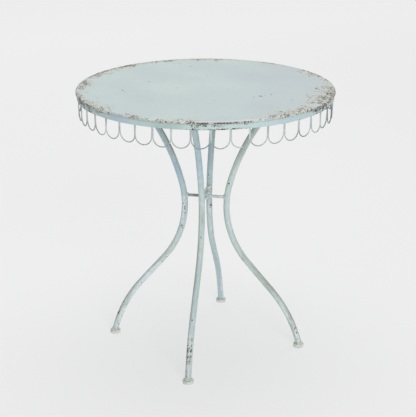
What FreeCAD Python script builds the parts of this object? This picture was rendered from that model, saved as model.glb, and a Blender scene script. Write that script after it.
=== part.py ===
import FreeCAD, Part
import math
import os
import Sketcher

# Round steel bistro table: a sheet-steel top with a rim band and a valance of
# wire loops, on four bent tube legs that are braced at the waist.
# Millimetres. The origin is on the floor under the middle of the top, +Z is up,
# and the legs stand on the X and Y axes.

doc = FreeCAD.newDocument("bistro_table")

# ---------------------------------------------------------------- driving sizes
SIZES = [
    # alias, value, what it is
    ("table_height", 755.0, "floor to the upper face of the top"),
    ("top_radius", 350.0, "outside of the turned-down edge"),
    ("top_sheet_gauge", 1.5, "thickness of the top's sheet"),
    ("edge_bend", 6.0, "outside radius of the turned-down edge"),
    ("edge_lip", 7.0, "depth of the turned-down edge below the upper face"),
    ("band_radius", 347.0, "outside of the rim band"),
    ("band_gauge", 2.0, "thickness of the rim band"),
    ("band_drop", 22.0, "upper face of the top to the band's lower edge"),
    ("loop_count", 44, "wire loops round the rim"),
    ("loops_per_quarter", 11, "loops in one quarter's group"),
    ("wire_diameter", 2.8, "wire of the loops"),
    ("wire_gap", 0.1, "play between two loops that lie side by side"),
    ("loop_drop", 72.5, "upper face of the top to the bottom of a loop"),
    ("loop_overlap", 12.0, "length of a loop's tip inside the band"),
    ("weld_gap", 0.05, "play between a loop's tip and the band"),
    ("tube_diameter", 17.0, "outside of a leg's tube"),
    ("tube_wall", 1.5, "wall of a leg's tube"),
    ("foot_circle", 271.1, "table axis to the middle of a foot"),
    ("foot_lean", 12.5, "lean of a leg at its foot, degrees from upright"),
    ("low_bend", 390.0, "radius of a leg's lower bend"),
    ("shin_lean", 40.4, "lean of the straight shin, degrees from upright"),
    ("shin_length", 107.0, "length of the straight shin"),
    ("waist_bend", 253.5, "radius of a leg's waist bend"),
    ("shoulder_lean", 14.7, "outward lean where the waist bend ends, degrees"),
    ("upper_bend", 587.0, "radius of a leg's upper bend"),
    ("tube_run_on", 8.0, "bent tube below the foot's face, before it is cut level"),
    ("foot_radius", 15.0, "round foot disc"),
    ("foot_height", 10.0, "thickness of the foot disc"),
    ("foot_top_round", 2.6, "rounding of the disc's upper edge"),
    ("foot_sole_round", 1.6, "rounding of the disc's lower edge"),
    ("rod_diameter", 8.0, "waist brace rods"),
    ("rod_height", 443.0, "floor to the middle of the brace rods"),
    ("rod_reach", 64.0, "rod stock from the table's axis, before its end is fitted"),
    ("rod_nose", 1.5, "table's axis to where the stock of a half rod starts"),
    ("bar_width", 30.0, "flat bars under the top"),
    ("bar_gauge", 4.0, "thickness of the flat bars"),
    ("bar_gap", 0.3, "play between a bar's end and the band"),
    ("plate_length", 78.0, "leg plate, along the bar"),
    ("plate_width", 30.0, "leg plate, across the bar"),
    ("plate_gauge", 4.0, "thickness of the leg plate"),
    ("plate_corner", 4.0, "rounding of the leg plate's corners"),
    ("screw_spread", 29.0, "middle of the leg plate to a screw"),
    ("screw_diameter", 5.9, "screw shank"),
    ("tapped_hole", 6.0, "hole for the screw in a bar"),
    ("plate_hole", 6.6, "hole for the screw in a leg plate"),
    ("screw_length", 8.0, "screw shank, under the head"),
    ("screw_head_width", 10.0, "hexagon head across flats"),
    ("screw_head_height", 4.0, "hexagon head"),
    ("washer_diameter", 12.0, "washer outside"),
    ("washer_hole", 6.4, "washer bore"),
    ("washer_gauge", 1.6, "washer thickness"),
]

sheet = doc.addObject("Spreadsheet::Sheet", "sizes")
size = {}
for row, (alias, value, meaning) in enumerate(SIZES, start=1):
    sheet.set(f"A{row}", meaning)
    sheet.set(f"B{row}", str(value))
    sheet.setAlias(f"B{row}", alias)
    size[alias] = value
doc.recompute()

# Azimuth of each leg about +Z, in degrees.
LEG_AZIMUTHS = {"right": 0.0, "back": 90.0, "left": 180.0, "front": 270.0}
UP = FreeCAD.Vector(0, 0, 1)
ORIGIN = FreeCAD.Vector(0, 0, 0)

# Expressions that several pieces share.
PLATE_UNDERSIDE = "(sizes.table_height - sizes.top_sheet_gauge - sizes.bar_gauge - sizes.plate_gauge)"
BAR_UNDERSIDE = "(sizes.table_height - sizes.top_sheet_gauge - sizes.bar_gauge)"
BAND_BORE = "(sizes.band_radius - sizes.band_gauge)"

pieces = {}


def keep(name, feature):
    """Names a finished sub-part and puts it on the list of what is written out."""
    feature.Label = name
    pieces[name] = feature
    return feature


def turned(azimuth, offset=ORIGIN):
    """A placement turned about +Z, with the offset given before the turn."""
    turn = FreeCAD.Rotation(UP, azimuth)
    return FreeCAD.Placement(turn.multVec(offset), turn)


def bind(feature, **expressions):
    """Ties properties of a feature to expressions on the size sheet."""
    for name, expression in expressions.items():
        feature.setExpression(name.replace("__", "."), expression)


def plane(body, role):
    """One of a body's own origin planes or axes."""
    return next(item for item in body.Origin.OriginFeatures if item.Role == role)


def add_sketch(body, name, role, offset=None):
    """A sketch on one of the body's origin planes."""
    sketch = body.newObject("Sketcher::SketchObject", name)
    sketch.AttachmentSupport = [(plane(body, role), "")]
    sketch.MapMode = "FlatFace"
    if offset is not None:
        sketch.AttachmentOffset = offset
    return sketch


def point(x, y):
    return FreeCAD.Vector(x, y, 0)


def drive(sketch, name, constraint, expression):
    """Adds a dimension to a sketch and ties it to the size sheet."""
    index = sketch.addConstraint(constraint)
    sketch.renameConstraint(index, name)
    sketch.setExpression(f"Constraints.{name}", expression)


def add_circle(sketch, name, radius, expression):
    """A circle about the sketch's own origin, with its radius driven."""
    index = sketch.addGeometry(Part.Circle(ORIGIN, FreeCAD.Vector(0, 0, 1), radius), False)
    sketch.addConstraint(Sketcher.Constraint("Coincident", index, 3, -1, 1))
    drive(sketch, name, Sketcher.Constraint("Radius", index, radius), expression)
    return index


# ------------------------------------------------------------- round top sheet
def locate(sketch, name, geometry, end, x, z, x_rule, z_rule):
    """Drives one point of a sketch to a radius and a height."""
    across = Sketcher.Constraint("DistanceX", -1, 1, geometry, end, x)
    drive(sketch, f"{name}_across", across, x_rule)
    above = Sketcher.Constraint("DistanceY", -1, 1, geometry, end, z)
    drive(sketch, f"{name}_above", above, z_rule)


def chain_lines(sketch, corners):
    """Straight edges through the corners, closed, joined end to end."""
    count = len(corners)
    for i in range(count):
        sketch.addGeometry(Part.LineSegment(corners[i], corners[(i + 1) % count]), False)
    for i in range(count):
        sketch.addConstraint(Sketcher.Constraint("Coincident", i, 2, (i + 1) % count, 1))


def revolve(body, sketch):
    """A full turn of a sketch about the body's Z axis."""
    turn = body.newObject("PartDesign::Revolution", f"{body.Name}_turn")
    turn.Profile = sketch
    turn.ReferenceAxis = (plane(body, "Z_Axis"), [""])
    turn.Angle = 360
    return turn


def make_top_sheet():
    """A flat disc whose edge is bent down through a quarter round into a short lip."""
    radius, gauge = size["top_radius"], size["top_sheet_gauge"]
    upper, bend = size["table_height"], size["edge_bend"]
    lip = upper - size["edge_lip"]
    centre = point(radius - bend, upper - bend)
    axis = FreeCAD.Vector(0, 0, 1)
    quarter = math.pi / 2
    body = doc.addObject("PartDesign::Body", "top_sheet_body")
    sketch = add_sketch(body, "top_sheet_section", "XZ_Plane")
    outer_arc = Part.ArcOfCircle(Part.Circle(centre, axis, bend), 0, quarter)
    inner_arc = Part.ArcOfCircle(Part.Circle(centre, axis, bend - gauge), 0, quarter)
    edges = [
        Part.LineSegment(point(0, upper), point(radius - bend, upper)),
        outer_arc,
        Part.LineSegment(point(radius, upper - bend), point(radius, lip)),
        Part.LineSegment(point(radius, lip), point(radius - gauge, lip)),
        Part.LineSegment(point(radius - gauge, lip), point(radius - gauge, upper - bend)),
        inner_arc,
        Part.LineSegment(point(radius - bend, upper - gauge), point(0, upper - gauge)),
        Part.LineSegment(point(0, upper - gauge), point(0, upper)),
    ]
    for edge in edges:
        sketch.addGeometry(edge, False)
    # An arc runs anticlockwise, so its start (1) is at the outside and its end (2) on top.
    smooth = [(0, 2, 1, 2), (1, 1, 2, 1), (4, 2, 5, 1), (5, 2, 6, 1)]
    square = [(2, 2, 3, 1), (3, 2, 4, 1), (6, 2, 7, 1), (7, 2, 0, 1), (1, 3, 5, 3)]
    for kind, joints in (("Tangent", smooth), ("Coincident", square)):
        for first, first_end, second, second_end in joints:
            sketch.addConstraint(Sketcher.Constraint(kind, first, first_end, second, second_end))
    for level in (0, 3, 6):
        sketch.addConstraint(Sketcher.Constraint("Horizontal", level))
    for upright in (2, 4):
        sketch.addConstraint(Sketcher.Constraint("Vertical", upright))
    for end in (1, 2):
        sketch.addConstraint(Sketcher.Constraint("PointOnObject", 7, end, -2))
    locate(sketch, "arc_centre", 1, 3, radius - bend, upper - bend,
           "sizes.top_radius - sizes.edge_bend", "sizes.table_height - sizes.edge_bend")
    drive(sketch, "outer_bend", Sketcher.Constraint("Radius", 1, bend), "sizes.edge_bend")
    drive(sketch, "inner_bend", Sketcher.Constraint("Radius", 5, bend - gauge),
          "sizes.edge_bend - sizes.top_sheet_gauge")
    drive(sketch, "lip_level", Sketcher.Constraint("DistanceY", -1, 1, 2, 2, lip),
          "sizes.table_height - sizes.edge_lip")
    revolve(body, sketch)
    keep("top_sheet", body)


# -------------------------------------------------------------------- rim band
def make_rim_band():
    """A hoop of flat steel whose upper outer corner meets the bent edge from inside."""
    outer = size["band_radius"]
    inner = outer - size["band_gauge"]
    low = size["table_height"] - size["band_drop"]
    bend_middle = size["top_radius"] - size["edge_bend"]
    under_bend = size["edge_bend"] - size["top_sheet_gauge"]
    high = size["table_height"] - size["edge_bend"]
    high += math.sqrt(under_bend ** 2 - (outer - bend_middle) ** 2)
    reach = "(sizes.band_radius - sizes.top_radius + sizes.edge_bend)"
    high_rule = ("sizes.table_height - sizes.edge_bend"
                 f" + sqrt((sizes.edge_bend - sizes.top_sheet_gauge)^2 - {reach}^2)")
    body = doc.addObject("PartDesign::Body", "rim_band_body")
    sketch = add_sketch(body, "rim_band_section", "XZ_Plane")
    chain_lines(sketch, [point(inner, low), point(outer, low), point(outer, high), point(inner, high)])
    for level in (0, 2):
        sketch.addConstraint(Sketcher.Constraint("Horizontal", level))
    for upright in (1, 3):
        sketch.addConstraint(Sketcher.Constraint("Vertical", upright))
    locate(sketch, "low_inside", 0, 1, inner, low, BAND_BORE, "sizes.table_height - sizes.band_drop")
    locate(sketch, "high_outside", 1, 2, outer, high, "sizes.band_radius", high_rule)
    revolve(body, sketch)
    keep("rim_band", body)


# ------------------------------------------------------------------ wire loops
def make_scallop_loops(side, azimuth):
    """
    A quarter of the valance: flat wire loops, each a U with a half-round bottom.
    Its two tips stand against the inside of the band, beside the next loop's.
    """
    step = 2 * math.pi / size["loop_count"]
    wire = size["wire_diameter"]
    tip_radius = size["band_radius"] - size["band_gauge"] - size["weld_gap"] - wire / 2
    half = tip_radius * math.sin(step / 2) - (wire + size["wire_gap"]) / 2
    face = math.sqrt(tip_radius ** 2 - half ** 2)
    tip = size["table_height"] - size["band_drop"] + size["loop_overlap"]
    bend = size["table_height"] - size["loop_drop"] + wire / 2 + half
    tip_rule = f"({BAND_BORE} - sizes.weld_gap - sizes.wire_diameter / 2)"
    half_rule = (f"({tip_rule} * sin(180 deg / sizes.loop_count)"
                 " - (sizes.wire_diameter + sizes.wire_gap) / 2)")
    face_rule = f"sqrt({tip_rule}^2 - {half_rule}^2)"
    tip_level = "sizes.table_height - sizes.band_drop + sizes.loop_overlap"
    bend_level = f"sizes.table_height - sizes.loop_drop + sizes.wire_diameter / 2 + {half_rule}"

    body = doc.addObject("PartDesign::Body", f"scallops_{side}_body")
    spine = add_sketch(body, f"scallops_{side}_line", "YZ_Plane",
                       FreeCAD.Placement(FreeCAD.Vector(0, 0, face), FreeCAD.Rotation()))
    bind(spine, AttachmentOffset__Base__z=face_rule)
    circle = Part.Circle(point(0, bend), FreeCAD.Vector(0, 0, 1), half)
    spine.addGeometry(Part.LineSegment(point(-half, tip), point(-half, bend)), False)
    spine.addGeometry(Part.ArcOfCircle(circle, math.pi, 2 * math.pi), False)
    spine.addGeometry(Part.LineSegment(point(half, bend), point(half, tip)), False)
    spine.addConstraint(Sketcher.Constraint("Tangent", 0, 2, 1, 1))
    spine.addConstraint(Sketcher.Constraint("Tangent", 1, 2, 2, 1))
    spine.addConstraint(Sketcher.Constraint("Vertical", 0))
    spine.addConstraint(Sketcher.Constraint("Horizontal", 0, 1, 2, 2))
    spine.addConstraint(Sketcher.Constraint("PointOnObject", 1, 3, -2))
    drive(spine, "loop_bend", Sketcher.Constraint("Radius", 1, half), half_rule)
    drive(spine, "bend_level", Sketcher.Constraint("DistanceY", -1, 1, 1, 3, bend), bend_level)
    drive(spine, "tip_level", Sketcher.Constraint("DistanceY", -1, 1, 0, 1, tip), tip_level)

    section = add_sketch(body, f"scallops_{side}_section", "XY_Plane",
                         FreeCAD.Placement(FreeCAD.Vector(face, -half, tip), FreeCAD.Rotation()))
    bind(section, AttachmentOffset__Base__x=face_rule,
         AttachmentOffset__Base__y=f"-{half_rule}", AttachmentOffset__Base__z=tip_level)
    add_circle(section, "wire", wire / 2, "sizes.wire_diameter / 2")

    loop = body.newObject("PartDesign::AdditivePipe", f"scallops_{side}_loop")
    loop.Profile = section
    loop.Spine = (spine, ["Edge1", "Edge2", "Edge3"])
    doc.recompute()
    ring = body.newObject("PartDesign::PolarPattern", f"scallops_{side}_ring")
    ring.Originals = [loop]
    ring.Axis = (plane(body, "Z_Axis"), [""])
    bind(ring, Occurrences="sizes.loops_per_quarter",
         Angle="360 deg / sizes.loop_count * (sizes.loops_per_quarter - 1)")
    body.Tip = ring
    half_span = 180.0 / size["loop_count"] * (size["loops_per_quarter"] - 1)
    body.Placement = turned(azimuth - half_span)
    keep(f"scallop_loops_{side}", body)


# ------------------------------------------------------------------------ legs
def leg_line():
    """
    Corner points and bend centres of a leg's middle line, in its own upright plane.
    From the foot up it leans in, bends further in, runs straight along the shin,
    bends back out round the waist, and opens on a wider bend up to the leg plate.
    """
    def along(start, lean, length):
        return start[0] - length * math.sin(lean), start[1] + length * math.cos(lean)

    def beside(start, lean, distance):
        return start[0] + distance * math.cos(lean), start[1] + distance * math.sin(lean)

    foot_lean = math.radians(size["foot_lean"])
    shin_lean = math.radians(size["shin_lean"])
    shoulder = -math.radians(size["shoulder_lean"])
    foot = (size["foot_circle"], size["foot_height"])
    heel = along(foot, foot_lean, -size["tube_run_on"])
    low_centre = beside(heel, foot_lean, -size["low_bend"])
    shin_low = beside(low_centre, shin_lean, size["low_bend"])
    shin_high = along(shin_low, shin_lean, size["shin_length"])
    waist_centre = beside(shin_high, shin_lean, size["waist_bend"])
    shoulder_point = beside(waist_centre, shoulder, -size["waist_bend"])
    upper_centre = beside(waist_centre, shoulder, size["upper_bend"] - size["waist_bend"])
    top = size["table_height"] - size["edge_bend"]
    sweep = math.asin((top - upper_centre[1]) / size["upper_bend"])
    return {"heel": heel, "low_centre": low_centre, "shin_low": shin_low, "shin_high": shin_high,
            "waist_centre": waist_centre, "shoulder": shoulder_point,
            "upper_centre": upper_centre, "top": top, "top_turn": math.pi - sweep}


def leg_spine(body, name):
    """The sketch of a leg's middle line: bend, straight shin, waist bend, upper bend."""
    line = leg_line()
    sketch = add_sketch(body, name, "XZ_Plane")
    axis = FreeCAD.Vector(0, 0, 1)
    foot_turn = math.radians(size["foot_lean"])
    shin_turn = math.radians(size["shin_lean"])
    shoulder_turn = math.radians(-size["shoulder_lean"])
    low = Part.Circle(point(*line["low_centre"]), axis, size["low_bend"])
    waist = Part.Circle(point(*line["waist_centre"]), axis, size["waist_bend"])
    upper = Part.Circle(point(*line["upper_centre"]), axis, size["upper_bend"])
    sketch.addGeometry(Part.ArcOfCircle(low, foot_turn, shin_turn), False)
    sketch.addGeometry(Part.LineSegment(point(*line["shin_low"]), point(*line["shin_high"])), False)
    sketch.addGeometry(Part.ArcOfCircle(waist, math.pi + shoulder_turn, math.pi + shin_turn), False)
    sketch.addGeometry(Part.ArcOfCircle(upper, line["top_turn"], math.pi + shoulder_turn), False)
    sketch.addConstraint(Sketcher.Constraint("Tangent", 0, 2, 1, 1))
    sketch.addConstraint(Sketcher.Constraint("Tangent", 1, 2, 2, 2))
    sketch.addConstraint(Sketcher.Constraint("Tangent", 2, 1, 3, 2))
    heel_x = "sizes.foot_circle + sizes.tube_run_on * sin(sizes.foot_lean * 1 deg)"
    heel_z = "sizes.foot_height - sizes.tube_run_on * cos(sizes.foot_lean * 1 deg)"
    locate(sketch, "low_centre", 0, 3, *line["low_centre"],
           f"{heel_x} - sizes.low_bend * cos(sizes.foot_lean * 1 deg)",
           f"{heel_z} - sizes.low_bend * sin(sizes.foot_lean * 1 deg)")
    drive(sketch, "low_bend", Sketcher.Constraint("Radius", 0, size["low_bend"]), "sizes.low_bend")
    drive(sketch, "heel_level", Sketcher.Constraint("DistanceY", -1, 1, 0, 1, line["heel"][1]), heel_z)
    drive(sketch, "shin_length", Sketcher.Constraint("Distance", 1, size["shin_length"]),
          "sizes.shin_length")
    shin_rise = size["shin_length"] * math.cos(shin_turn)
    drive(sketch, "shin_rise", Sketcher.Constraint("DistanceY", 1, 1, 1, 2, shin_rise),
          "sizes.shin_length * cos(sizes.shin_lean * 1 deg)")
    drive(sketch, "waist_bend", Sketcher.Constraint("Radius", 2, size["waist_bend"]),
          "sizes.waist_bend")
    shoulder_rise = line["shoulder"][1] - line["waist_centre"][1]
    drive(sketch, "shoulder_rise", Sketcher.Constraint("DistanceY", 2, 3, 2, 1, shoulder_rise),
          "sizes.waist_bend * sin(sizes.shoulder_lean * 1 deg)")
    drive(sketch, "upper_bend", Sketcher.Constraint("Radius", 3, size["upper_bend"]),
          "sizes.upper_bend")
    drive(sketch, "top_level", Sketcher.Constraint("DistanceY", -1, 1, 3, 1, line["top"]),
          "sizes.table_height - sizes.edge_bend")
    return sketch


def bent_bar(name, radius, radius_rule):
    """A solid round bar that follows the leg's middle line."""
    heel = leg_line()["heel"]
    body = doc.addObject("PartDesign::Body", name)
    spine = leg_spine(body, f"{name}_line")
    tilt = FreeCAD.Rotation(FreeCAD.Vector(0, 1, 0), -size["foot_lean"])
    offset = FreeCAD.Placement(FreeCAD.Vector(heel[0], 0, heel[1]), tilt)
    section = add_sketch(body, f"{name}_section", "XY_Plane", offset)
    add_circle(section, "outline", radius, radius_rule)
    pipe = body.newObject("PartDesign::AdditivePipe", f"{name}_pipe")
    pipe.Profile = section
    pipe.Spine = (spine, ["Edge1", "Edge2", "Edge3", "Edge4"])
    return body


def make_leg(side, azimuth):
    """A bent tube, cut level at the foot's face and at the underside of its plate."""
    outside = bent_bar(f"leg_{side}_outside", size["tube_diameter"] / 2, "sizes.tube_diameter / 2")
    bore = bent_bar(f"leg_{side}_bore", size["tube_diameter"] / 2 - size["tube_wall"],
                    "sizes.tube_diameter / 2 - sizes.tube_wall")
    slab = doc.addObject("Part::Box", f"leg_{side}_height")
    bind(slab, Length="sizes.top_radius", Width="sizes.tube_diameter * 2",
         Height=f"{PLATE_UNDERSIDE} - sizes.foot_height",
         Placement__Base__y="-sizes.tube_diameter", Placement__Base__z="sizes.foot_height")
    level = doc.addObject("Part::Common", f"leg_{side}_level")
    level.Base = outside
    level.Tool = slab
    tube = doc.addObject("Part::Cut", f"leg_{side}_tube")
    tube.Base = level
    tube.Tool = bore
    tube.Placement = turned(azimuth)
    keep(f"leg_{side}", tube)


def make_foot(side, azimuth):
    """A thick round disc with softened edges, welded under the end of a leg."""
    body = doc.addObject("PartDesign::Body", f"foot_{side}_body")
    sketch = add_sketch(body, f"foot_{side}_outline", "XY_Plane")
    add_circle(sketch, "outline", size["foot_radius"], "sizes.foot_radius")
    disc = body.newObject("PartDesign::Pad", f"foot_{side}_disc")
    disc.Profile = sketch
    bind(disc, Length="sizes.foot_height")
    doc.recompute()
    rounded = disc
    for word, level in (("top", size["foot_height"]), ("sole", 0.0)):
        rim = [f"Edge{i}" for i, edge in enumerate(rounded.Shape.Edges, start=1)
               if abs(edge.BoundBox.ZMin - level) < 0.01 and abs(edge.BoundBox.ZMax - level) < 0.01
               and edge.BoundBox.XMax > size["foot_radius"] - 0.01]
        fillet = body.newObject("PartDesign::Fillet", f"foot_{side}_{word}")
        fillet.Base = (rounded, rim)
        bind(fillet, Radius=f"sizes.foot_{word}_round")
        doc.recompute()
        rounded = fillet
    body.Placement = turned(azimuth, FreeCAD.Vector(size["foot_circle"], 0, 0))
    keep(f"foot_{side}", body)


# ----------------------------------------------------------------- waist brace
def rod_along_x(name, start_rule, length_rule):
    """A round rod along X at the brace's height."""
    rod = doc.addObject("Part::Cylinder", name)
    along_x = FreeCAD.Rotation(FreeCAD.Vector(0, 1, 0), 90)
    rod.Placement = FreeCAD.Placement(ORIGIN, along_x)
    bind(rod, Radius="sizes.rod_diameter / 2", Height=length_rule,
         Placement__Base__x=start_rule, Placement__Base__z="sizes.rod_height")
    return rod


def leg_former(name, azimuth):
    """A leg's outside as a cutter, for rod ends that fit round the tube."""
    former = bent_bar(name, size["tube_diameter"] / 2, "sizes.tube_diameter / 2")
    former.Placement = turned(azimuth)
    return former


def cut(name, base, tool):
    result = doc.addObject("Part::Cut", name)
    result.Base = base
    result.Tool = tool
    return result


def make_waist_brace():
    """One rod between the left and right legs, and two half rods that meet it."""
    across = rod_along_x("brace_across_stock", "-sizes.rod_reach", "2 * sizes.rod_reach")
    right = cut("brace_across_right_end", across, leg_former("former_right", 0.0))
    through = cut("brace_across_both_ends", right, leg_former("former_left", 180.0))
    keep("brace_rod_across", through)
    for side in ("front", "back"):
        stock = rod_along_x(f"brace_{side}_stock", "sizes.rod_nose",
                            "sizes.rod_reach - sizes.rod_nose")
        crossing = doc.addObject("Part::Cylinder", f"brace_{side}_crossing")
        along_y = FreeCAD.Rotation(FreeCAD.Vector(1, 0, 0), 90)
        crossing.Placement = FreeCAD.Placement(ORIGIN, along_y)
        bind(crossing, Radius="sizes.rod_diameter / 2", Height="2 * sizes.rod_diameter",
             Placement__Base__y="sizes.rod_diameter", Placement__Base__z="sizes.rod_height")
        notched = cut(f"brace_{side}_notched", stock, crossing)
        rod = cut(f"brace_{side}_fitted", notched, leg_former(f"former_{side}", 0.0))
        rod.Placement = turned(LEG_AZIMUTHS[side])
        keep(f"brace_rod_{side}", rod)


# ------------------------------------------------------- flat bars under the top
def screw_places():
    """Distance from the table's axis of the two screws of one leg plate."""
    line = leg_line()
    underside = (size["table_height"] - size["top_sheet_gauge"] - size["bar_gauge"]
                 - size["plate_gauge"])
    rise = underside - line["upper_centre"][1]
    middle = line["upper_centre"][0] - math.sqrt(size["upper_bend"] ** 2 - rise ** 2)
    return middle, (middle - size["screw_spread"], middle + size["screw_spread"])


def drilled(name, base, places, diameter_rule, low_rule):
    """A flat piece with upright holes on the X axis."""
    result = base
    for i, place in enumerate(places, start=1):
        drill = doc.addObject("Part::Cylinder", f"{name}_drill_{i}")
        drill.Placement.Base = FreeCAD.Vector(place, 0, 0)
        bind(drill, Radius=f"{diameter_rule} / 2", Height="sizes.bar_gauge + 2",
             Placement__Base__z=f"{low_rule} - 1")
        result = cut(f"{name}_hole_{i}", result, drill)
    return result


def flat_bar(name, start_rule, length_rule):
    """A flat bar along X under the sheet, its ends cut round to fit inside the band."""
    stock = doc.addObject("Part::Box", f"{name}_stock")
    bind(stock, Length=length_rule, Width="sizes.bar_width", Height="sizes.bar_gauge",
         Placement__Base__x=start_rule, Placement__Base__y="-sizes.bar_width / 2",
         Placement__Base__z=BAR_UNDERSIDE)
    inside = doc.addObject("Part::Cylinder", f"{name}_inside_band")
    bind(inside, Radius=f"{BAND_BORE} - sizes.bar_gap", Height="sizes.bar_gauge",
         Placement__Base__z=BAR_UNDERSIDE)
    fitted = doc.addObject("Part::Common", f"{name}_fitted")
    fitted.Base = stock
    fitted.Tool = inside
    return fitted


def make_top_bars():
    """A cross of flat bars that stiffens the sheet and takes the legs' screws."""
    places = screw_places()[1]
    long_bar = flat_bar("bar_across", "-sizes.band_radius", "2 * sizes.band_radius")
    mirrored = [-place for place in places]
    keep("top_bar_across", drilled("bar_across", long_bar, [*places, *mirrored],
                                   "sizes.tapped_hole", BAR_UNDERSIDE))
    for side in ("front", "back"):
        name = f"bar_{side}"
        half_bar = flat_bar(name, "sizes.bar_width / 2", "sizes.band_radius")
        bar = drilled(name, half_bar, places, "sizes.tapped_hole", BAR_UNDERSIDE)
        bar.Placement = turned(LEG_AZIMUTHS[side])
        keep(f"top_bar_{side}", bar)


def make_leg_plate(side, azimuth):
    """The plate on a leg's upper end, with two holes for the screws into the bar."""
    body = doc.addObject("PartDesign::Body", f"leg_plate_{side}_body")
    sketch = add_sketch(body, f"leg_plate_{side}_outline", "XY_Plane")
    half_length, half_width = size["plate_length"] / 2, size["plate_width"] / 2
    chain_lines(sketch, [point(-half_length, -half_width), point(half_length, -half_width),
                         point(half_length, half_width), point(-half_length, half_width)])
    for level in (0, 2):
        sketch.addConstraint(Sketcher.Constraint("Horizontal", level))
    for upright in (1, 3):
        sketch.addConstraint(Sketcher.Constraint("Vertical", upright))
    locate(sketch, "far_corner", 1, 2, half_length, half_width,
           "sizes.plate_length / 2", "sizes.plate_width / 2")
    locate(sketch, "near_corner", 0, 1, -half_length, -half_width,
           "-sizes.plate_length / 2", "-sizes.plate_width / 2")
    axis = FreeCAD.Vector(0, 0, 1)
    hole_radius = size["plate_hole"] / 2
    for word, sign in (("outer", 1), ("inner", -1)):
        place = sign * size["screw_spread"]
        hole = sketch.addGeometry(Part.Circle(point(place, 0), axis, hole_radius), False)
        sketch.addConstraint(Sketcher.Constraint("PointOnObject", hole, 3, -1))
        drive(sketch, f"{word}_place", Sketcher.Constraint("DistanceX", -1, 1, hole, 3, place),
              f"{sign} * sizes.screw_spread")
        drive(sketch, f"{word}_hole", Sketcher.Constraint("Radius", hole, hole_radius),
              "sizes.plate_hole / 2")
    plate = body.newObject("PartDesign::Pad", f"leg_plate_{side}_pad")
    plate.Profile = sketch
    bind(plate, Length="sizes.plate_gauge")
    doc.recompute()
    corners = [f"Edge{i}" for i, edge in enumerate(plate.Shape.Edges, start=1)
               if edge.BoundBox.ZLength > size["plate_gauge"] - 0.01
               and abs(edge.BoundBox.YMin) > half_width - 0.01]
    rounded = body.newObject("PartDesign::Fillet", f"leg_plate_{side}_corners")
    rounded.Base = (plate, corners)
    bind(rounded, Radius="sizes.plate_corner")
    level = (size["table_height"] - size["top_sheet_gauge"] - size["bar_gauge"]
             - size["plate_gauge"])
    body.Placement = turned(azimuth, FreeCAD.Vector(screw_places()[0], 0, level))
    keep(f"leg_plate_{side}", body)


# ------------------------------------------------------------------- fasteners
def each_screw_place():
    """Name and placement of every screw: two under each leg plate."""
    for side, azimuth in LEG_AZIMUTHS.items():
        for i, place in enumerate(screw_places()[1], start=1):
            yield f"{side}_{i}", turned(azimuth, FreeCAD.Vector(place, 0, 0))


def group(name, members):
    """Identical fasteners as one sub-part of separate solids."""
    compound = doc.addObject("Part::Compound", f"{name}_group")
    compound.Links = members
    keep(name, compound)


def make_screw(name, placement):
    """A hexagon-head screw, head down, that goes up through plate and bar."""
    head_level = f"{PLATE_UNDERSIDE} - sizes.washer_gauge"
    head = doc.addObject("Part::Prism", f"screw_head_{name}")
    head.Polygon = 6
    bind(head, Circumradius="sizes.screw_head_width / sqrt(3)", Height="sizes.screw_head_height",
         Placement__Base__z=f"{head_level} - sizes.screw_head_height")
    shank = doc.addObject("Part::Cylinder", f"screw_shank_{name}")
    bind(shank, Radius="sizes.screw_diameter / 2", Height="sizes.screw_length",
         Placement__Base__z=head_level)
    screw = doc.addObject("Part::Fuse", f"screw_{name}")
    screw.Base = head
    screw.Tool = shank
    screw.Placement = placement
    return screw


def make_washer(name, placement):
    """A flat washer between a screw's head and the leg plate."""
    level = f"{PLATE_UNDERSIDE} - sizes.washer_gauge"
    disc = doc.addObject("Part::Cylinder", f"washer_disc_{name}")
    bind(disc, Radius="sizes.washer_diameter / 2", Height="sizes.washer_gauge",
         Placement__Base__z=level)
    bore = doc.addObject("Part::Cylinder", f"washer_bore_{name}")
    bind(bore, Radius="sizes.washer_hole / 2", Height="sizes.washer_gauge + 2",
         Placement__Base__z=f"{level} - 1")
    washer = cut(f"washer_{name}", disc, bore)
    washer.Placement = placement
    return washer


# ----------------------------------------------------------------- the assembly
make_top_sheet()
make_rim_band()
for leg_side, leg_azimuth in LEG_AZIMUTHS.items():
    make_scallop_loops(leg_side, leg_azimuth)
    make_leg(leg_side, leg_azimuth)
    make_foot(leg_side, leg_azimuth)
    make_leg_plate(leg_side, leg_azimuth)
make_waist_brace()
make_top_bars()
group("plate_screws", [make_screw(*place) for place in each_screw_place()])
group("plate_washers", [make_washer(*place) for place in each_screw_place()])
doc.recompute()

# ------------------------------------------------------------- checks and files
for item in doc.Objects:
    if "Invalid" in item.State or "Error" in item.State:
        raise RuntimeError(f"{item.Name} failed: {item.State}")

os.makedirs("parts", exist_ok=True)
for piece_name, piece in pieces.items():
    shape = piece.Shape
    if shape.isNull() or not shape.isValid() or not shape.Solids:
        raise RuntimeError(f"{piece_name} has no valid solid")
    shape.exportStep(f"parts/{piece_name}.step")
    print(f"{piece_name:24s} solids {len(shape.Solids):2d}  volume {shape.Volume:10.1f} mm3")
print(f"{len(pieces)} sub-parts")
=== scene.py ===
# %% [markdown]
# # A painted iron bistro table, dressed around its own frame
#
# This lesson finishes an old garden table: a round sheet-steel top, a flat band under its edge, a
# fringe of bent wire loops, four tube legs that sweep in to a narrow waist, and small disc feet.
#
# The measured solids of the table are loaded first and stay where they are. Every new piece is
# worked out in millimetres in the same frame: the floor at z = 0, the front leg towards -Y, and the
# axis of the table on Z.

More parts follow.
